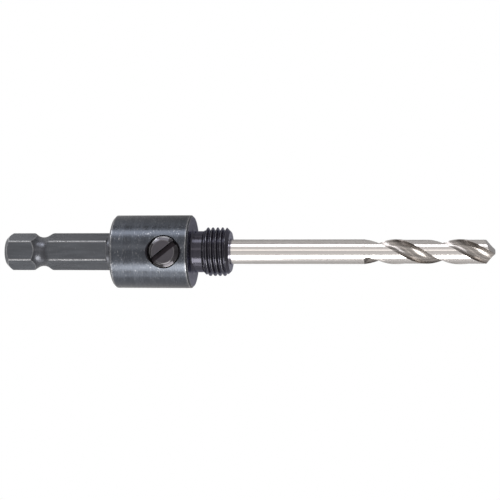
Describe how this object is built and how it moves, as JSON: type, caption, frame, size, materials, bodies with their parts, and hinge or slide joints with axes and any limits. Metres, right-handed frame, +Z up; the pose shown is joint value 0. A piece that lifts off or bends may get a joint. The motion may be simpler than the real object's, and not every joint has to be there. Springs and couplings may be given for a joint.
{
  "type": "hole saw arbor",
  "caption": "Hex-shank arbor that carries a hole saw on its threaded nose, with a twist pilot drill clamped by a slotted set screw.",
  "frame": {"origin": "on the surface that the arbor lies on, under the middle of its whole length", "axes": "+X along the arbor's axis towards the drill's point, +Z up, along the set screw's axis and out of its slot, +Y completing the frame, towards one corner of the hexagonal shank"},
  "size_m": [0.1278, 0.019, 0.0194],
  "materials": {
    "blackened_steel": "turned and milled steel, black oxide, satin",
    "bright_tool_steel": "ground and polished bright steel",
    "dark_screw_steel": "dark heat-treated steel, satin"
  },
  "bodies": {
    "arbor": {"arbor_body": "blackened_steel", "pilot_drill": "bright_tool_steel"},
    "set_screw": {"set_screw": "dark_screw_steel"}
  },
  "joints": [
    {"name": "set_screw_turn", "type": "hinge", "parent": "arbor", "child": "set_screw", "pos_m": [-0.02004, 0, 0.0165], "axis": [0, 0, 1], "range_deg": [0, 450]}
  ]
}
